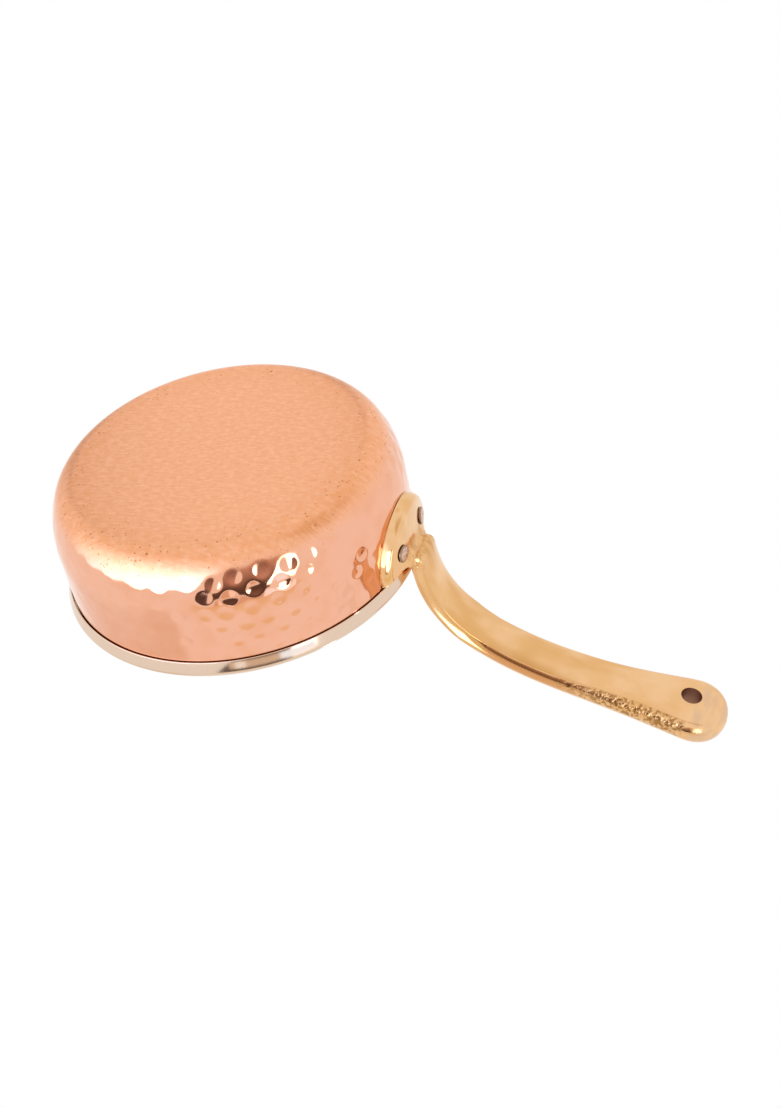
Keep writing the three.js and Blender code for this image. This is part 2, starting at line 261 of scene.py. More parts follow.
class Nodes:
    """A node tree, with short calls for the nodes that finishes and lights are made of."""

    def __init__(self, tree):
        self.tree = tree

    def node(self, kind, **settings):
        node = self.tree.nodes.new(kind)
        for name, value in settings.items():
            setattr(node, name, value)
        return node

    def join(self, out, into):
        self.tree.links.new(out, into)

    def math(self, operation, first, second):
        node = self.node("ShaderNodeMath", operation=operation)
        for socket, value in zip(node.inputs, (first, second)):
            if isinstance(value, (int, float)):
                socket.default_value = value
            else:
                self.join(value, socket)
        return node.outputs[0]

    def product(self, first, *others):
        for other in others:
            first = self.math("MULTIPLY", first, other)
        return first

    def vector(self, operation, first, second=None):
        node = self.node("ShaderNodeVectorMath", operation=operation)
        self.join(first, node.inputs[0])
        if second is not None:
            node.inputs[1].default_value = second
        return node.outputs["Value" if operation == "LENGTH" else "Vector"]

    def parts(self, place):
        """The coordinates X, Y and Z of a place."""
        node = self.node("ShaderNodeSeparateXYZ")
        self.join(place, node.inputs[0])
        return node.outputs

    def between(self, value, start, end, low=0.0, high=1.0):
        """Eases from low to high while a value goes from start to end."""
        node = self.node("ShaderNodeMapRange", interpolation_type="SMOOTHSTEP")
        self.join(value, node.inputs["Value"])
        limits = {"From Min": start, "From Max": end, "To Min": low, "To Max": high}
        for socket, number in limits.items():
            node.inputs[socket].default_value = number
        return node.outputs[0]


class Finish(Nodes):
    """A metal finish on one principled shader, with a roughness that stands until one is joined."""

    def __init__(self, name, roughness):
        self.material = bpy.data.materials.new(name)
        self.material.use_nodes = True
        super().__init__(self.material.node_tree)
        self.shader = self.tree.nodes["Principled BSDF"]
        self.shader.inputs["Metallic"].default_value = 1
        self.shader.inputs["Roughness"].default_value = roughness
        self.place = self.node("ShaderNodeTexCoord").outputs["Object"]

    def from_axis(self):
        """The surface's distance from the pan's upright axis, in metres."""
        return self.vector("LENGTH", self.vector("MULTIPLY", self.place, (1, 1, 0)))

    def from_line(self, point, axis):
        """The surface's distance from a straight line through a point, in metres."""
        away = self.vector("SUBTRACT", self.place, point)
        return self.vector("LENGTH", self.vector("CROSS_PRODUCT", away, axis))

    def stored(self, name):
        """A number from 0 to 1 that the mesh holds at each of its points."""
        return self.node("ShaderNodeAttribute", attribute_name=name).outputs["Fac"]

    def cloud(self, scale, detail, stretch=(1, 1, 1), turn=0.0):
        """Soft patches from 0 to 1, with a number of them per metre, stretched along turned axes."""
        mapping = self.node("ShaderNodeMapping")
        mapping.inputs["Rotation"].default_value = (0, 0, turn)
        mapping.inputs["Scale"].default_value = stretch
        self.join(self.place, mapping.inputs["Vector"])
        patches = self.node("ShaderNodeTexNoise")
        patches.inputs["Scale"].default_value = scale
        patches.inputs["Detail"].default_value = detail
        self.join(mapping.outputs[0], patches.inputs["Vector"])
        return patches.outputs[0]

    def specks(self, scale, share, size):
        """Small round specks in a share of the cells of a random grid, with a number of cells per
        metre and a size in cells."""
        cells = self.node("ShaderNodeTexVoronoi")
        cells.inputs["Scale"].default_value = scale
        self.join(self.place, cells.inputs["Vector"])
        chosen = self.math("LESS_THAN", cells.outputs["Color"], share)
        return self.product(chosen, self.between(cells.outputs["Distance"], size, size / 2))

    def blend(self, share, first, second):
        """Goes from the first colour to the second by a share from 0 to 1."""
        mix = self.node("ShaderNodeMix", data_type="RGBA")
        self.join(share, mix.inputs["Factor"])
        for socket, colour in ((mix.inputs[6], first), (mix.inputs[7], second)):
            if isinstance(colour, tuple):
                socket.default_value = (*colour, 1)
            else:
                self.join(colour, socket)
        return mix.outputs[2]

    def colour(self, out):
        self.join(out, self.shader.inputs["Base Color"])

    def roughness(self, out):
        self.join(out, self.shader.inputs["Roughness"])

    def bump(self, height, distance):
        """Raises the surface by a height from 0 to 1 times a distance in metres."""
        node = self.node("ShaderNodeBump")
        node.inputs["Distance"].default_value = distance
        self.join(height, node.inputs["Height"])
        self.join(node.outputs[0], self.shader.inputs["Normal"])


def beaten_copper():
    finish = Finish("beaten_copper", roughness=0.1)
    height = finish.parts(finish.place)["Z"]
    radius = finish.from_axis()
    wall = finish.between(height, *WALL_HEIGHTS)
    brush = finish.cloud(*BRUSH_MARKS)

    mottle = finish.between(finish.cloud(*BASE_MOTTLE), *BASE_CONTRAST)
    base = finish.blend(mottle, COPPER_BASE, COPPER_PALE)
    streaks = finish.between(brush, *STREAK_CONTRAST)
    base = finish.blend(streaks, base, COPPER_DEEP)
    edge = finish.product(finish.between(radius, *TAN_RADII), finish.between(height, *TAN_HEIGHTS))
    tan = finish.product(edge, finish.between(finish.cloud(*TAN_MOTTLE), *TAN_CONTRAST))
    base = finish.blend(tan, base, COPPER_TAN)

    # The polished wall's copper is pinker than the base's: a painted tint of the pale, cool light that it
    # reflects. It is mottled warmer.
    warm = finish.between(finish.cloud(*WALL_MOTTLE), *WARM_CONTRAST)
    polished = finish.blend(warm, COPPER_WALL_REFLECTED_TINT, COPPER_WALL_WARM)
    colour = finish.blend(wall, base, polished)

    stained = finish.product(
        finish.between(radius, *STAIN_RADII),
        finish.between(height, *STAIN_HEIGHTS),
        finish.between(finish.cloud(*STAIN_CLUSTERS), *STAIN_CONTRAST))
    stains = finish.math("MAXIMUM", finish.specks(*COARSE_STAINS), finish.specks(*FINE_STAINS))
    colour = finish.blend(finish.product(stains, stained), colour, COPPER_STAIN)
    seam = finish.between(height, *(COPPER_EDGE - below for below in SEAM_BELOW_EDGE))
    finish.colour(finish.blend(seam, colour, SEAM_STAIN))

    satin = finish.between(brush, *SATIN_CONTRAST, *BRUSHED_ROUGHNESS)
    gloss = finish.node("ShaderNodeMix")
    finish.join(wall, gloss.inputs["Factor"])
    finish.join(satin, gloss.inputs[2])
    gloss.inputs[3].default_value = WALL_ROUGHNESS
    finish.roughness(gloss.outputs[0])
    finish.bump(finish.product(brush, finish.between(wall, 1, 0)), BRUSH_DEPTH)
    return finish.material


shell.data.materials.append(beaten_copper())
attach(shell, "root")
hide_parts("copper_shell")

# Steel liner
# A thin stainless steel lining pressed into the copper. Its edge is folded out and down over the
# copper's edge, and rolled tight, so that it makes the bright band round the rim.

_, liner_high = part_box("steel_liner")
SEAT_GAP = 0.0003
LINER_WALL = 0.0008
LINER_OUTSIDE = COPPER_WALL + SEAT_GAP
LINER_INSIDE = LINER_OUTSIDE + LINER_WALL
RIM_TOP = liner_high.z
RIM_ROUND = 0.0019
BAND_OUTSIDE = liner_high.x
BAND_INSIDE = BOWL_RADIUS + SEAT_GAP
BAND_HEIGHT = 0.007
BAND_SLOPE = 19  # degrees that the band leans out
BAND_FOOT = RIM_TOP - BAND_HEIGHT
FOOT_WALL = 0.0007
FOOT_OUTSIDE = BAND_INSIDE + FOOT_WALL
HEM_POCKET = COPPER_EDGE + SEAT_GAP
HEM_ROUND = 0.0003
LINER_SIDES = 320
LINER_STEPS = 24
ARC_STEPS = 8
STEEL = (0.80, 0.77, 0.73)
# The band's steel, warmed with a painted reflection of the copper's light
STEEL_RIM_COPPER_REFLECTION = (0.77, 0.585, 0.45)
STEEL_ROUGHNESS = (0.28, 0.12)
POLISHED_RADII = (0.0788, 0.0800)  # where the satin inside turns into the polished band, which has a painted reflection of the copper


def arc(radius, height, round_radius, start, end):
    """Points on a rounding, with its angles in degrees."""
    return [
        (radius + round_radius * math.cos(angle), height + round_radius * math.sin(angle))
        for angle in np.radians(np.linspace(start, end, ARC_STEPS))
    ]


liner_outline = [
    (0, LINER_OUTSIDE), *shoulder_line(LINER_STEPS, LINER_OUTSIDE),
    (BOWL_RADIUS - LINER_OUTSIDE, HEM_POCKET), (BAND_INSIDE, HEM_POCKET),
    *arc(BAND_INSIDE + HEM_ROUND, BAND_FOOT + HEM_ROUND, HEM_ROUND, 180, 270),
    *arc(FOOT_OUTSIDE - HEM_ROUND, BAND_FOOT + HEM_ROUND, HEM_ROUND, 270, 360 - BAND_SLOPE),
    *arc(BAND_OUTSIDE - RIM_ROUND, RIM_TOP - RIM_ROUND, RIM_ROUND, -BAND_SLOPE, 90),
    *arc(BOWL_RADIUS - LINER_INSIDE + RIM_ROUND, RIM_TOP - RIM_ROUND, RIM_ROUND, 90, 180),
    *reversed(shoulder_line(LINER_STEPS, LINER_INSIDE)), (0, LINER_INSIDE),
]
liner = turned_piece("folded_liner", *turned(liner_outline, LINER_SIDES))


def lining_steel():
    finish = Finish("lining_steel", roughness=0.2)
    band = finish.between(finish.from_axis(), *POLISHED_RADII)
    # The band's colour holds a painted reflection of the copper's warm light.
    finish.colour(finish.blend(band, STEEL, STEEL_RIM_COPPER_REFLECTION))
    finish.roughness(finish.between(band, 0, 1, *STEEL_ROUGHNESS))
    return finish.material


liner.data.materials.append(lining_steel())
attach(liner, "root")
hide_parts("steel_liner")

# Brass handle
# One brass casting, filed and polished. A half moon plate lies on the wall of the bowl, and the
# stem stands off it past the rim, sweeps out and spreads to a wide end with a drilled hanging hole.

PLATE_HALF_WIDTH = 0.026
PLATE_DEPTH = 0.0278
PLATE_WALL = 0.005
PLATE_FIT = 0.00005  # between the wall and the plate
PLATE_SPARE = 0.002  # behind the wall's face, cut away with the wall's shape
PLATE_BELOW_BAND = 0.0006
PLATE_INSIDE = BOWL_RADIUS + PLATE_FIT
PLATE_OUTSIDE = BOWL_RADIUS + PLATE_WALL
PLATE_BACK = BOWL_RADIUS - PLATE_SPARE
PLATE_EDGE = BAND_FOOT - PLATE_BELOW_BAND
PLATE_ROUND = 0.0038
PLATE_FOOT = math.radians(25)  # where the rounding of its edge starts
PLATE_STEPS = 60
PLATE_SHARES = (0.98, 0.75, 0.5, 0.25)  # rings across its back and its face
ROOT_LENGTH = 0.0122
ROOT_ROUND = 0.0036
COVE_SPREAD = 0.0095
COVE_DROP = 0.006
COVE_HEIGHT = 0.0062
COVE_TOP_DEPTH = 0.3 * ROOT_LENGTH
NECK_OUT = 0.0055
NECK_BELOW_RIM = 0.0007
NECK = Vector((BAND_OUTSIDE + NECK_OUT, 0, RIM_TOP - NECK_BELOW_RIM))
NECK_ANGLE = math.radians(83.8)
NECK_BEND = 0.0503  # length of the sweep's tangent at the neck
STEM_REACH = 0.1294
STEM_LIFT = 0.079
STEM_WIDTHS = ((0, 0.0194), (0.3, 0.0216), (0.65, 0.0238), (1, 0.0329))  # at shares of the sweep
STEM_THICKNESSES = ((0, 0.009), (0.5, 0.011), (1, 0.0124))
STEM_STEPS = 160
LINE_STEPS = 400
TIP_ANGLE = math.radians(16.5)
TIP_BEND = 0.0588  # length of the sweep's tangent at the tip
TIP_LENGTH = 0.0185
TIP_LEFT_OPEN = 0.0001  # for the fan that closes the tip
END_STEPS = 14
WAY_STEP = 0.0005
SIDE_ROUND = 1.02  # least radius of the round sides, in half thicknesses
# Degrees from the middle of a side to its arris, at shares of the sweep
SIDE_TURNS = ((0, 16), (0.22, 16), (0.30, 42), (0.50, 42), (0.72, 64), (1, 64))
SIDE_STEPS = 24
ARRIS_HEIGHT = 0.68  # least height of the arris, in half thicknesses
FACE_STEPS = 24
HOLE_RADIUS = 0.0047
HOLE_FROM_TIP = 0.018
HOLE_OFFSET = -0.0025
HOLE_STEP = 0.001
DRILL_LENGTH = 0.03
DRILL_SIDES = 96
CAST_GRAIN = 0.0004
POLISH_STRENGTH = 0.5
STEM_POLISH = 3  # rounds of buffing
ROOT_POLISH = 16
ROOT_REACH = (0.034, 0.044)  # distances along the stem where its root's polish runs out
SKIN_FROM = 0.335  # first and last share of the stem that keeps its skin
SKIN_TO = 0.898
MARK_FADE = 0.012
SKIN_EDGE = ((0.52, 0.72), (0.60, 0.42))  # shares of the stem, and how far sideways skin faces there
SKIN_EDGE_FADE = 0.08
SKIN_WAVE = 0.007
SKIN_WAVE_HEIGHT = 0.1
SKIN_TOP = 0.4  # how far up it may face
SKIN_TOP_FADE = 0.2
PIT_FROM = 0.52  # shares of the stem where the pits start and where they are deepest
PIT_FULL = 0.68
PIT_SIZE = 0.0012
PIT_DEPTH = 0.0002
WIDE_PIT_SIZE = 0.003
WIDE_PIT_SHARE = 0.5
HOLLOW_MIDDLE = 0.5  # how dark the pits are halfway down
HOLLOW_CONTRAST = 2.2
SCUFF_FROM = 0.905  # share of the stem
FILED_HALF_WIDTH = 0.0135
FILED_SIDE_FADE = 0.003
FILED_BELOW_EDGE = 0.013
FILED_FOOT_FADE = 0.004
FILED_BELOW_RIM = 0.004
FILED_TOP_FADE = 0.005
BRASS = (0.83, 0.49, 0.225)
BRASS_PALE = (0.88, 0.55, 0.29)
BRASS_DEEP = (0.76, 0.42, 0.16)
BRASS_STREAK = (0.62, 0.33, 0.13)
BRASS_SKIN = (0.68, 0.33, 0.13)
BRASS_PIT = (0.40, 0.20, 0.07)
BRASS_SCUFF = (0.76, 0.49, 0.29)
# Painted shade for the inside of the hanging hole
BRASS_BORE_SHADE = (0.33, 0.16, 0.10)
BRASS_FLAW = (0.30, 0.14, 0.04)
BRASS_MOTTLE = (60, 3)
BRASS_CLOUDS = (35, 2, (1, 2, 1))
BRASS_HAZE = (120, 3)
BRASS_FLAWS = (160, 0.10, 0.10)
FILE_MARKS = (420, 3, (1, 1, 0.08))
SCRATCHES = (260, 4, (1, 0.3, 1))
PIT_GRAIN = (1500, 2)
PALE_CONTRAST = (0.35, 0.65)
DEEP_CONTRAST = (0.45, 0.7)
HAZE_CONTRAST = (0.3, 0.7)
FILE_CONTRAST = (0.44, 0.66, 0, 0.8)
SCRATCH_CONTRAST = (0.36, 0.62)
PIT_GRAIN_DEPTH = 0.00015
BORE_EDGE = (0.0002, 0.00005)  # outside the bore, where its painted shade starts and ends
BRASS_ROUGHNESS = (0.08, 0.14)
BORE_ROUGHNESS = 0.5
FILED_ROUGHNESS = 0.32
SKIN_ROUGHNESS = 0.2
SCUFF_ROUGHNESS = 0.24


def loft(rings):
    """Points and faces of a closed body through rings of points, with a fan over each end."""
    points = np.concatenate([*rings, [np.mean(rings[0], 0)], [np.mean(rings[-1], 0)]])
    return points, tube_faces(len(rings), len(rings[0]))


def half_moon(half_width, depth, drop=0.0):
    """A half moon with its straight edge on top, as places along the wall and below the edge."""
    angles = np.linspace(0, math.pi, PLATE_STEPS)
    bow = np.stack([-half_width * np.cos(angles), drop + depth * np.sin(angles)], 1)
    edge = np.linspace(half_width, -half_width, PLATE_STEPS)[1:-1]
    return np.concatenate([bow, np.stack([edge, np.full(len(edge), drop)], 1)])


def bent(points, radius):
    """Flat points bent round the pan's axis at a radius."""
    turn = points[:, 0] / PLATE_INSIDE
    return np.stack([radius * np.cos(turn), radius * np.sin(turn), PLATE_EDGE - points[:, 1]], 1)


def plate_rings():
    """The plate from its back, which is cut to the wall later, over its round edge to its face."""
    heart = np.array([0, PLATE_DEPTH / 2])
    back = half_moon(PLATE_HALF_WIDTH, PLATE_DEPTH)
    rings = [bent(back + (heart - back) * share, PLATE_BACK) for share in PLATE_SHARES]
    rings.append(bent(back, PLATE_BACK))
    for angle in np.linspace(PLATE_FOOT, math.pi / 2, 2 * ARC_STEPS):
        inset = PLATE_ROUND * (1 - math.cos(angle) / math.cos(PLATE_FOOT))
        drop = (PLATE_OUTSIDE - PLATE_INSIDE) * (1 - math.sin(angle)) / (1 - math.sin(PLATE_FOOT))
        face = half_moon(PLATE_HALF_WIDTH - inset, PLATE_DEPTH - 2 * inset, inset)
        rings.append(bent(face, PLATE_OUTSIDE - drop))
    rings += [bent(face + (heart - face) * share, PLATE_OUTSIDE) for share in reversed(PLATE_SHARES)]
    return rings


def cove_rings():
    """The hollow rounding between the plate and the root of the stem."""
    top_half_width = STEM_WIDTHS[0][1] / 2 - ROOT_ROUND / 2
    foot_depth = COVE_TOP_DEPTH + COVE_DROP - PLATE_ROUND
    rings = [bent(half_moon(top_half_width + COVE_SPREAD, foot_depth, PLATE_ROUND), PLATE_INSIDE)]
    for angle in np.linspace(0, math.pi / 2, ARC_STEPS):
        spread = 1 - math.sin(angle)
        depth = COVE_TOP_DEPTH + (foot_depth - COVE_TOP_DEPTH) * spread
        shape = half_moon(top_half_width + COVE_SPREAD * spread, depth, PLATE_ROUND * spread)
        rings.append(bent(shape, PLATE_OUTSIDE + COVE_HEIGHT * (1 - math.cos(angle))))
    return rings


def way_up(angle):
    """A direction over the handle's middle, at an angle above level."""
    return Vector((math.cos(angle), 0, math.sin(angle)))


def sweep_point(share):
    """A point on the stem's sweep from the neck to the tip."""
    tip = NECK + Vector((STEM_REACH, 0, STEM_LIFT))
    leaving = NECK + NECK_BEND * way_up(NECK_ANGLE)
    coming = tip - TIP_BEND * way_up(TIP_ANGLE)
    rest = 1 - share
    return (
        NECK * rest ** 3 + leaving * (3 * rest ** 2 * share)
        + coming * (3 * rest * share ** 2) + tip * share ** 3
    )


stem_root = NECK - ROOT_LENGTH * way_up(NECK_ANGLE)
stem_line = np.array([stem_root, *map(sweep_point, np.linspace(0, 1, LINE_STEPS))])
stem_lengths = distances(stem_line)
STEM_LENGTH = stem_lengths[-1]
SWEEP_LENGTH = STEM_LENGTH - ROOT_LENGTH
TIP_START = STEM_LENGTH - TIP_LENGTH


def through(pairs, at):
    """A smooth curve through pairs of place and value."""
    places = np.array([pair[0] for pair in pairs], float)
    values = np.array([pair[1] for pair in pairs], float)
    slopes = np.empty(len(places))
    slopes[1:-1] = (values[2:] - values[:-2]) / (places[2:] - places[:-2])
    slopes[0] = 1.5 * (values[1] - values[0]) / (places[1] - places[0]) - slopes[1] / 2
    slopes[-1] = 1.5 * (values[-1] - values[-2]) / (places[-1] - places[-2]) - slopes[-2] / 2
    index = np.clip(np.searchsorted(places, at) - 1, 0, len(places) - 2)
    step = places[index + 1] - places[index]
    t = (at - places[index]) / step
    return (
        values[index] * (1 + 2 * t) * (1 - t) ** 2 + slopes[index] * step * t * (1 - t) ** 2
        + values[index + 1] * t ** 2 * (3 - 2 * t) + slopes[index + 1] * step * t ** 2 * (t - 1)
    )


def from_root(sizes):
    """Sizes at shares of the sweep, as sizes at distances from the root. The last one is reached
    where the round tip starts."""
    placed = [(ROOT_LENGTH + SWEEP_LENGTH * share, size) for share, size in sizes[:-1]]
    return placed + [(TIP_START, sizes[-1][1])]


def stem_section(half_width, half_thick, side_turn):
    """Places across the stem and out from its middle, all round its section. The sides are round,
    and the crowned faces meet them at an arris."""
    side_radius = half_thick * max(SIDE_ROUND, ARRIS_HEIGHT / math.sin(side_turn))
    turns = np.linspace(-side_turn, side_turn, SIDE_STEPS + 1)
    side = np.stack([half_width - side_radius * (1 - np.cos(turns)), side_radius * np.sin(turns)], 1)
    share = np.linspace(1, -1, FACE_STEPS + 1)[1:-1]
    arris_width, arris_out = side[-1]
    crown = half_thick - arris_out
    face = np.stack([arris_width * share, half_thick - crown * share ** 2], 1)
    half = np.concatenate([side, face])
    return np.concatenate([half, -half])


def stem_rings():
    """The stem from its round root to its round tip."""
    widths = from_root(STEM_WIDTHS)
    thicknesses = from_root(STEM_THICKNESSES)
    quarter = np.linspace(0, math.pi / 2, END_STEPS)
    places = np.concatenate([
        ROOT_ROUND * (1 - np.cos(quarter[:-1])),
        np.linspace(ROOT_ROUND, TIP_START, STEM_STEPS),
        STEM_LENGTH - TIP_LENGTH * (1 - np.sin(quarter[1:-1])),
        [STEM_LENGTH - TIP_LEFT_OPEN],
    ])
    rings = []
    for place in places:
        near = np.array([place - WAY_STEP, place, place + WAY_STEP])
        behind, middle, ahead = point_at(near, stem_line, stem_lengths)
        way = (ahead - behind) / np.linalg.norm(ahead - behind)
        face = np.array([-way[2], 0, way[0]])
        root_share = max(0.0, 1 - place / ROOT_ROUND)
        tip_share = max(0.0, 1 - (STEM_LENGTH - place) / TIP_LENGTH)
        drawn_in = ROOT_ROUND * (1 - math.sqrt(1 - root_share ** 2))
        half_width = through(widths, place) / 2 * math.sqrt(1 - tip_share ** 2) - drawn_in
        half_thick = through(thicknesses, place) / 2 * math.sqrt(1 - tip_share ** 4) - drawn_in
        side_turn = np.interp((place - ROOT_LENGTH) / SWEEP_LENGTH, *zip(*SIDE_TURNS))
        section = stem_section(half_width, half_thick, math.radians(side_turn))
        ring = middle + np.outer(section[:, 1], face)
        ring[:, 1] += section[:, 0]
        rings.append(ring)
    return rings


def joined(name, bodies):
    """Several closed bodies as one mesh object."""
    points, faces, count = [], [], 0
    for body_points, body_faces in bodies:
        faces += [tuple(corner + count for corner in face) for face in body_faces]
        points.append(body_points)
        count += len(body_points)
    return new_piece(name, np.concatenate(points), faces)


def settle(piece):
    """Turns the piece's modifiers into plain mesh."""
    shown = piece.evaluated_get(bpy.context.evaluated_depsgraph_get())
    settled = bpy.data.meshes.new_from_object(shown)
    piece.modifiers.clear()
    piece.data = settled


handle = joined("cast_handle", [loft(plate_rings()), loft(cove_rings()), loft(stem_rings())])
skin = handle.modifiers.new("skin", "REMESH")
skin.mode = "VOXEL"
skin.voxel_size = CAST_GRAIN
settle(handle)


def along_stem():
    """The handle's points, and the distance of each along the stem's middle line."""
    points = np.empty(3 * len(handle.data.vertices), np.float32)
    handle.data.vertices.foreach_get("co", points)
    points = points.reshape(-1, 3)
    line_x, _, line_z = stem_line.T
    nearest = [np.argmin((line_x - x) ** 2 + (line_z - z) ** 2) for x, _, z in points]
    return points, stem_lengths[np.array(nearest)]


def ramp(value, start, width):
    """Goes from 0 to 1 while a value goes from its start over a width, which may be negative."""
    return np.clip((value - start) / width, 0, 1)


def polish(iterations, group=""):
    buffing = handle.modifiers.new("polish", "SMOOTH")
    buffing.factor = POLISH_STRENGTH
    buffing.iterations = iterations
    buffing.vertex_group = group


def polish_handle():
    """Rounds the whole casting a little, and its root, where the stem meets the plate, more."""
    _, places = along_stem()
    root = handle.vertex_groups.new(name="root")
    weights = ramp(places, ROOT_REACH[1], ROOT_REACH[0] - ROOT_REACH[1]).round(1)
    for weight in np.unique(weights):
        root.add(np.flatnonzero(weights == weight).tolist(), float(weight), "REPLACE")
    polish(STEM_POLISH)
    polish(ROOT_POLISH, "root")
    settle(handle)


def hold(piece, name, values):
    """Keeps a number from 0 to 1 at each of a piece's points, for its finish."""
    layer = piece.data.attributes.new(name, "FLOAT", "POINT")
    layer.data.foreach_set("value", values.astype(np.float32))


def leave_tool_marks():
    """Marks where the casting keeps its skin on the stem's sides, where that skin is pitted, where
    the cove is filed and where the end is scuffed, and sinks the pits."""
    points, places = along_stem()
    normals = np.empty(points.size, np.float32)
    handle.data.vertex_normals.foreach_get("vector", normals)
    normals = normals.reshape(-1, 3)
    share = places / STEM_LENGTH
    waves = np.array([noise.noise(Vector(point) / SKIN_WAVE) for point in points.tolist()])
    skin = ramp(share, SKIN_FROM, MARK_FADE) * ramp(share, SKIN_TO, -MARK_FADE)
    skin_edge = np.interp(share, *SKIN_EDGE) + SKIN_WAVE_HEIGHT * waves
    skin *= ramp(np.abs(normals[:, 1]), skin_edge, SKIN_EDGE_FADE)
    skin *= ramp(normals[:, 2], SKIN_TOP, -SKIN_TOP_FADE)
    pitted = skin * ramp(share, PIT_FROM, PIT_FULL - PIT_FROM) * (normals[:, 1] > 0)
    hollow = np.zeros(len(points))
    for index in np.flatnonzero(pitted > 0):
        place = Vector(points[index].tolist())
        height = noise.noise(place / PIT_SIZE) + WIDE_PIT_SHARE * noise.noise(place / WIDE_PIT_SIZE)
        points[index] += normals[index] * pitted[index] * PIT_DEPTH * height
        hollow[index] = pitted[index] * np.clip(HOLLOW_MIDDLE - HOLLOW_CONTRAST * height, 0, 1)
    handle.data.vertices.foreach_set("co", points.reshape(-1))
    handle.data.update()
    filed = ramp(np.abs(points[:, 1]), FILED_HALF_WIDTH, -FILED_SIDE_FADE)
    filed *= ramp(points[:, 2], PLATE_EDGE - FILED_BELOW_EDGE, FILED_FOOT_FADE)
    filed *= ramp(points[:, 2], RIM_TOP - FILED_BELOW_RIM, -FILED_TOP_FADE)
    hold(handle, "skin", skin)
    hold(handle, "pitted", pitted)
    hold(handle, "hollow", hollow)
    hold(handle, "filed", filed)
    hold(handle, "scuffed", ramp(share, SCUFF_FROM, MARK_FADE))


def bar(name, middle, axis, radius, length, sides):
    """A round bar for drilling, centred on a point along an axis."""
    turns = turns_of(sides)
    circle = np.stack([radius * np.cos(turns), radius * np.sin(turns), np.zeros(sides)], 1)
    piece = new_piece(name, *loft([circle + (0, 0, -length / 2), circle + (0, 0, length / 2)]))
    piece.data.transform(Vector(axis).to_track_quat("Z", "Y").to_matrix().to_4x4())
    piece.data.transform(Matrix.Translation(middle))
    return piece


def drill(pieces, bars):
    """Cuts the bars out of the pieces, and takes the bars away."""
    for piece in pieces:
        for cutter in bars:
            cut = piece.modifiers.new("cut", "BOOLEAN")
            cut.operation = "DIFFERENCE"
            cut.solver = "EXACT"
            cut.object = cutter
        settle(piece)
        smooth(piece)
    for cutter in bars:
        bpy.data.objects.remove(cutter)


polish_handle()
leave_tool_marks()
hole_place = STEM_LENGTH - HOLE_FROM_TIP
hole_middle = Vector(point_at(hole_place, stem_line, stem_lengths))
hole_ahead = Vector(point_at(hole_place + HOLE_STEP, stem_line, stem_lengths))
hole_way = (hole_ahead - hole_middle).normalized()
hole_middle.y = HOLE_OFFSET
hole_axis = Vector((-hole_way.z, 0, hole_way.x))
wall_middle = (0, 0, COPPER_EDGE / 2)
drill([handle], [
    bar("hanging_drill", hole_middle, hole_axis, HOLE_RADIUS, DRILL_LENGTH, DRILL_SIDES),
    bar("wall_shape", wall_middle, (0, 0, 1), PLATE_INSIDE, COPPER_EDGE, SHELL_SIDES),
])


def polished_brass():
    finish = Finish("polished_brass", roughness=0.1)
    mottle = finish.between(finish.cloud(*BRASS_MOTTLE), *PALE_CONTRAST)
    colour = finish.blend(mottle, BRASS, BRASS_PALE)
    deep = finish.between(finish.cloud(*BRASS_CLOUDS), *DEEP_CONTRAST)
    colour = finish.blend(deep, colour, BRASS_DEEP)
    colour = finish.blend(finish.specks(*BRASS_FLAWS), colour, BRASS_FLAW)

    filed = finish.stored("filed")
    file_marks = finish.between(finish.cloud(*FILE_MARKS), *FILE_CONTRAST)
    colour = finish.blend(finish.product(filed, file_marks), colour, BRASS_STREAK)
    scuffed = finish.stored("scuffed")
    scratches = finish.between(finish.cloud(*SCRATCHES), *SCRATCH_CONTRAST)
    colour = finish.blend(finish.product(scuffed, scratches), colour, BRASS_SCUFF)
    pitted = finish.stored("pitted")
    skin = finish.math("SUBTRACT", finish.stored("skin"), pitted)
    colour = finish.blend(skin, colour, BRASS_SKIN)
    colour = finish.blend(finish.stored("hollow"), colour, BRASS_PIT)
    # The bore's wall is painted dark brown: painted shade inside the hanging hole.
    from_bore = finish.math("SUBTRACT", finish.from_line(hole_middle, hole_axis), HOLE_RADIUS)
    bore = finish.between(from_bore, *BORE_EDGE)
    finish.colour(finish.blend(bore, colour, BRASS_BORE_SHADE))

    dull = finish.between(finish.cloud(*BRASS_HAZE), *HAZE_CONTRAST, *BRASS_ROUGHNESS)
    worn_places = (
        (bore, BORE_ROUGHNESS), (filed, FILED_ROUGHNESS), (skin, SKIN_ROUGHNESS),
        (scuffed, SCUFF_ROUGHNESS),
    )
    for worn, roughness in worn_places:
        dull = finish.math("MAXIMUM", dull, finish.between(worn, 0, 1, 0, roughness))
    finish.roughness(dull)
    finish.bump(finish.product(finish.cloud(*PIT_GRAIN), pitted), PIT_GRAIN_DEPTH)
    return finish.material


handle.data.materials.clear()
handle.data.materials.append(polished_brass())
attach(handle, "root")
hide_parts("brass_handle")

# Rivets
# Two soft steel rivets through liner, copper and plate. Their wide heads lie inside the pan, and
# their outer ends are peened over the plate to low domes.

RIVET_HALF_SPACING = 0.0132
RIVET_TURN = RIVET_HALF_SPACING / PLATE_OUTSIDE
RIVET_BELOW_EDGE = 0.0106
RIVET_HEIGHT = PLATE_EDGE - RIVET_BELOW_EDGE
RIVET_SIDES = 64
RIVET_DRILL_SIDES = 48
SHANK_RADIUS = 0.0025
INNER_HEAD = (0.005, -0.0016)  # radius and height
OUTER_HEAD = (0.004, 0.0009)
HEAD_CROWN = 0.3  # share of the height
HEAD_ROUND = 0.0011
HEAD_STEPS = 12
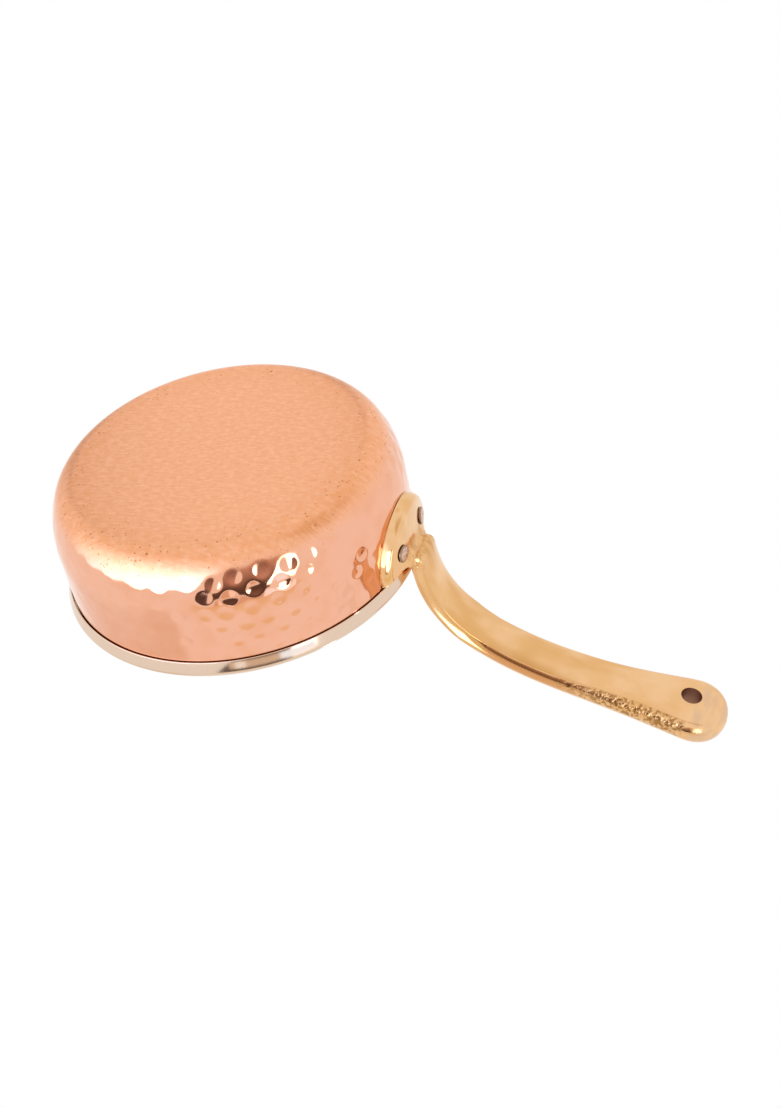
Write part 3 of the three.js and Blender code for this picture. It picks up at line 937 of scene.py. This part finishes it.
# How softly the painted shade at the heads' edges starts
EDGE_FADE = 0.0006
RIVET_STEEL = (0.50, 0.34, 0.26)
RIVET_PALE = (0.74, 0.52, 0.42)
# Painted shade round the outer head's edge, where it meets the plate
RIVET_EDGE_SHADE = (0.34, 0.20, 0.11)
RIVET_INSIDE = (0.72, 0.69, 0.65)
RIVET_MOTTLE = (900, 3)
RIVET_CONTRAST = (0.35, 0.65)
RIVET_ROUGHNESS = 0.3


def dome(seat, radius, height):
    """A head's outline from its edge on the seat to its middle: a round edge and a low crown."""
    edge_height = height * (1 - HEAD_CROWN)
    flat = radius - HEAD_ROUND
    edge = [
        (flat + HEAD_ROUND * math.cos(angle), seat + edge_height * math.sin(angle))
        for angle in np.linspace(0, math.pi / 2, HEAD_STEPS)
    ]
    crown = [
        (flat * share, seat + edge_height + height * HEAD_CROWN * (1 - share ** 2))
        for share in np.linspace(1, 0, ARC_STEPS)[1:]
    ]
    return edge + crown


def rivet_steel():
    finish = Finish("rivet_steel", roughness=RIVET_ROUGHNESS)
    mottle = finish.between(finish.cloud(*RIVET_MOTTLE), *RIVET_CONTRAST)
    steel = finish.blend(mottle, RIVET_STEEL, RIVET_PALE)
    # Painted shade darkens the outer head round its edge, where it meets the plate.
    steel = finish.blend(finish.stored("edge"), steel, RIVET_EDGE_SHADE)
    inside = finish.between(finish.from_axis(), BOWL_RADIUS, BOWL_RADIUS - COPPER_WALL)
    finish.colour(finish.blend(inside, steel, RIVET_INSIDE))
    return finish.material


inner_seat = math.sqrt((BOWL_RADIUS - LINER_INSIDE) ** 2 - INNER_HEAD[0] ** 2) - SEAT_GAP
outer_seat = PLATE_OUTSIDE + SEAT_GAP
rivet_outline = [
    *reversed(dome(inner_seat, *INNER_HEAD)), (SHANK_RADIUS, inner_seat),
    (SHANK_RADIUS, outer_seat), *dome(outer_seat, *OUTER_HEAD),
]
rivet_rings, rivet_ends = turned(rivet_outline, RIVET_SIDES)
rivet_radii = np.concatenate([np.hypot(rivet_rings[:, :, 0], rivet_rings[:, :, 1]).ravel(), [0, 0]])
peened_steel = rivet_steel()
rivet_drills = []
for side, turn in (("left", -RIVET_TURN), ("right", RIVET_TURN)):
    outwards = Vector((math.cos(turn), math.sin(turn), 0))
    rivet = turned_piece(f"peened_rivet_{side}", rivet_rings, rivet_ends)
    # Marks the outer head's round edge, where painted shade darkens it.
    hold(rivet, "edge", ramp(rivet_radii, OUTER_HEAD[0] - HEAD_ROUND, EDGE_FADE))
    rivet.data.transform(outwards.to_track_quat("Z", "Y").to_matrix().to_4x4())
    rivet.data.transform(Matrix.Translation((0, 0, RIVET_HEIGHT)))
    rivet.data.materials.append(peened_steel)
    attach(rivet, "root")
    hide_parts(f"rivet_{side}")
    middle = outwards * BOWL_RADIUS + Vector((0, 0, RIVET_HEIGHT))
    rivet_drills.append(bar(
        f"rivet_drill_{side}", middle, outwards, SHANK_RADIUS + SEAT_GAP, DRILL_LENGTH, RIVET_DRILL_SIDES))
drill([shell, liner, handle], rivet_drills)

# Floor
# A pale table top that the pan stands on, which fades into the white round it. It shows from above
# only, so that the base can be seen and lit from below, where the camera is.

FLOOR_SIZE = 4.0
FLOOR_DROP = 0.0002
FLOOR_FADE = (0.2, 0.75)  # distances from the pan's middle
FLOOR_COLOUR = (0.92, 0.915, 0.91)


class Backdrop(Nodes):
    """A material for the stage, which goes from one shader to another by a share."""

    def __init__(self, name):
        self.material = bpy.data.materials.new(name)
        self.material.use_nodes = True
        super().__init__(self.material.node_tree)
        self.tree.nodes.clear()

    def show(self, share, first, second):
        mix = self.node("ShaderNodeMixShader")
        for socket, out in zip(mix.inputs, (share, first.outputs[0], second.outputs[0])):
            self.join(out, socket)
        self.join(mix.outputs[0], self.node("ShaderNodeOutputMaterial").inputs[0])


def sheet(name, corners, material):
    """A flat sheet with four corners."""
    mesh = bpy.data.meshes.new(name)
    mesh.from_pydata(corners, [], [(0, 1, 2, 3)])
    mesh.materials.append(material)
    return put_in_scene(name, mesh)


def hide_from(piece, *rays):
    for ray in rays:
        setattr(piece, f"visible_{ray}", False)


def table_top():
    backdrop = Backdrop("table_top")
    paint = backdrop.node("ShaderNodeBsdfDiffuse")
    paint.inputs["Color"].default_value = (*FLOOR_COLOUR, 1)
    surface = backdrop.node("ShaderNodeNewGeometry").outputs
    faded = backdrop.between(backdrop.vector("LENGTH", surface["Position"]), *FLOOR_FADE)
    hidden = backdrop.math("MAXIMUM", surface["Backfacing"], faded)
    backdrop.show(hidden, paint, backdrop.node("ShaderNodeBsdfTransparent"))
    return backdrop.material


half = FLOOR_SIZE / 2
floor_corners = [
    (-half, -half, -FLOOR_DROP), (half, -half, -FLOOR_DROP),
    (half, half, -FLOOR_DROP), (-half, half, -FLOOR_DROP),
]
floor = sheet("floor", floor_corners, table_top())
hide_from(floor, "diffuse", "glossy", "transmission", "shadow")

# Studio
# A white tent round the pan. Glowing cards show in the metal only: soft boxes, drapes, the dark opening
# that the camera looks in by, and small ones close to the rim and the neck. A wide lamp hangs over the
# pan, and a tiny one makes the white line on the plate's edge.

TENT_DIFFUSE = 0.6  # its level as light on dull surfaces, where it is 1 to the eye and in metal
CARD_MIDDLE = Vector((0.04, 0.06, 0.015))
CARD_DISTANCE = 0.6
CARD_CORNERS = ((0, 0), (1, 0), (1, 1), (0, 1))
RIM_FRONT = Vector((0.036, 0.0735, 0.0543))
RIM_RIGHT = Vector((0.051, 0.0635, 0.0545))
NECK_SIDE = Vector((0.093, 0.0097, 0.070))
STEM_SIDE = Vector((0.0975, 0.010, 0.089))
TOP_LAMP_PLACE = Vector((-0.25, -0.2, 0.9))
TOP_LAMP_TARGET = Vector((0.05, 0, 0.03))
TOP_LAMP_SIZE = (0.7, 0.7)
TOP_LAMP_LEVEL = 1.53
PLATE_SIDE = Vector((0.0807, 0.023, 0.039))
PLATE_LAMP_PLACE = PLATE_SIDE + Vector((0.0041, 0.0152, -0.0042))
PLATE_LAMP_TARGET = PLATE_SIDE + Vector((0.004, 0, 0.003))
PLATE_LAMP_SIZE = (0.0100, 0.0206)
PLATE_LAMP_LEVEL = 3.0
PLATE_LAMP_COLOUR = (0.86, 0.96, 1.25)


def span(left, right, lower, upper):
    """The four corners of a card between two angles round and two angles up."""
    return (left, lower), (right, lower), (right, upper), (left, upper)


def card(name, corners, levels, colour, fades, middle=CARD_MIDDLE, distance=CARD_DISTANCE):
    """A card beside the pan, with its lower left, lower right, upper right and upper left corners
    at angles round and up in degrees, seen from a middle point. Its level goes from the first to the
    second up the card, and it fades out at its left, right, lower and upper sides."""
    places = []
    for turn, rise in np.radians(corners):
        way = (math.cos(turn) * math.cos(rise), math.sin(turn) * math.cos(rise), math.sin(rise))
        places.append(middle + Vector(way) * distance)
    backdrop = Backdrop(name)
    across, up, _ = backdrop.parts(backdrop.node("ShaderNodeTexCoord").outputs["UV"])
    left, right, lower, upper = fades
    shown = backdrop.product(
        backdrop.between(across, 0, left), backdrop.between(across, 1, 1 - right),
        backdrop.between(up, 0, lower), backdrop.between(up, 1, 1 - upper))
    glow = backdrop.node("ShaderNodeEmission")
    glow.inputs["Color"].default_value = (*colour, 1)
    backdrop.join(backdrop.between(up, 0, 1, *levels), glow.inputs["Strength"])
    backdrop.show(shown, backdrop.node("ShaderNodeBsdfTransparent"), glow)
    piece = sheet(name, places, backdrop.material)
    layer = piece.data.uv_layers.new(name="uv")
    for loop, corner in zip(layer.data, CARD_CORNERS):
        loop.uv = corner
    hide_from(piece, "camera", "diffuse", "shadow")


card(
    "camera_opening", ((34, -24), (68, -24), (95, 16), (50, 16)),
    levels=(0.62, 0.09), colour=(1, 0.67, 0.55), fades=(0.03, 0.02, 0.04, 0.02))
card(
    "soft_box", ((64, -44), (182, -40), (182, 6), (95, 1)),
    levels=(1.2, 3.2), colour=(0.86, 0.96, 1.2), fades=(0.02, 0.62, 0.6, 0.02))
card(
    "side_box", ((30, -16), (39, -16), (54, 14), (33, 14)),
    levels=(3.6, 3.6), colour=(0.95, 1, 1.05), fades=(0.1, 0.05, 0.1, 0.1), distance=0.5)
card(
    "table_edge", span(26, 106, 17, 34),
    levels=(0.91, 0.96), colour=(1, 0.90, 0.66), fades=(0.15, 0.15, 0.3, 0.5))
card(
    "ceiling_edge", span(-20, 150, 52, 76),
    levels=(1.4, 1.4), colour=(1, 1, 1), fades=(0.15, 0.15, 0.25, 0.3))
card(
    "tan_card", span(-44, 22, -66, -20),
    levels=(0.78, 0.78), colour=(1, 0.86, 0.62), fades=(0.4, 0.4, 0.4, 0.4))
card(
    "warm_drape", span(-86, -50, -62, -43),
    levels=(0.92, 0.92), colour=(1, 0.9, 0.72), fades=(0.2, 0.3, 0.3, 0.3))
card(
    "left_drape", span(112, 205, 18, 62),
    levels=(0.9, 0.9), colour=(1, 0.92, 0.85), fades=(0.3, 0.3, 0.3, 0.3))
card(
    "back_shade", span(198, 236, -44, 16),
    levels=(0.5, 0.5), colour=(1, 0.84, 0.74), fades=(0.7, 0.7, 0.4, 0.3))
card(
    "back_corner", span(246, 272, -44, 16),
    levels=(0.6, 0.6), colour=(1, 0.84, 0.74), fades=(0.7, 0.7, 0.4, 0.3))
card(
    "rim_shade", span(49, 93, -3, 9),
    levels=(0.81, 0.81), colour=(1, 0.79, 0.63), fades=(0.03, 0.05, 0.15, 0.15),
    middle=RIM_FRONT, distance=0.1)
card(
    "rim_pale", span(78, 89, -3, 9),
    levels=(1.15, 1.15), colour=(1, 1, 1), fades=(0.2, 0.2, 0.15, 0.15),
    middle=RIM_FRONT, distance=0.092)
card(
    "rim_white", span(31, 62, -3, 9),
    levels=(1.4, 1.4), colour=(0.84, 0.98, 1.19), fades=(0.03, 0.06, 0.15, 0.15),
    middle=RIM_RIGHT, distance=0.098)
card(
    "neck_pale", span(40, 104, 2, 42),
    levels=(0.94, 0.94), colour=(1, 0.98, 0.94), fades=(0.2, 0.2, 0.2, 0.2),
    middle=NECK_SIDE, distance=0.045)
card(
    "neck_white", span(90, 126, 27, 51),
    levels=(4.6, 4.6), colour=(0.9, 1, 1.25), fades=(0.1, 0.1, 0.1, 0.1),
    middle=STEM_SIDE, distance=0.06)

world = bpy.data.worlds.new("tent")
bpy.context.scene.world = world
world.use_nodes = True
tent = Nodes(world.node_tree)
ray = tent.node("ShaderNodeLightPath").outputs
seen = tent.math("MAXIMUM", ray["Is Camera Ray"], ray["Is Glossy Ray"])
seen = tent.math("MAXIMUM", seen, ray["Is Transmission Ray"])
white = world.node_tree.nodes["Background"]
white.inputs["Color"].default_value = (1, 1, 1, 1)
tent.join(tent.between(seen, 0, 1, TENT_DIFFUSE, 1), white.inputs["Strength"])


def lamp(name, place, target, size, level, colour=(1, 1, 1)):
    """A soft lamp that faces a target, as bright as a card of its level."""
    data = bpy.data.lights.new(name, "AREA")
    data.shape = "RECTANGLE"
    data.size, data.size_y = size
    data.energy = 4 * size[0] * size[1] * level
    data.color = colour
    piece = put_in_scene(name, data)
    piece.location = place
    piece.rotation_euler = (target - place).to_track_quat("-Z", "Y").to_euler()
    return piece


top_lamp = lamp("top_lamp", TOP_LAMP_PLACE, TOP_LAMP_TARGET, TOP_LAMP_SIZE, TOP_LAMP_LEVEL)
hide_from(top_lamp, "glossy")
plate_lamp = lamp(
    "plate_lamp", PLATE_LAMP_PLACE, PLATE_LAMP_TARGET, PLATE_LAMP_SIZE, PLATE_LAMP_LEVEL, PLATE_LAMP_COLOUR)
hide_from(plate_lamp, "camera", "diffuse")

# Camera
# It looks at the pan from below its base, turned so that the base is on top in the picture, as if the
# pan lay upside down.

CAMERA_PLACE = Vector((0.3207, 0.5337, -0.4220))
CAMERA_TARGET = Vector((0.0687, -0.0064, 0.0582))
PICTURE_UP = Vector((-0.0715, -0.6438, -0.7618))
CAMERA_LENS = 55.235
CAMERA_SENSOR = 36
camera_data = bpy.data.cameras.new("camera")
camera_data.lens = CAMERA_LENS
camera_data.sensor_width = CAMERA_SENSOR
camera = put_in_scene("camera", camera_data)
back = (CAMERA_PLACE - CAMERA_TARGET).normalized()
right = PICTURE_UP.cross(back).normalized()
up = back.cross(right)
camera.matrix_world = Matrix.Translation(CAMERA_PLACE) @ Matrix((right, up, back)).transposed().to_4x4()
bpy.context.scene.camera = camera
bpy.context.scene.view_settings.view_transform = "Standard"
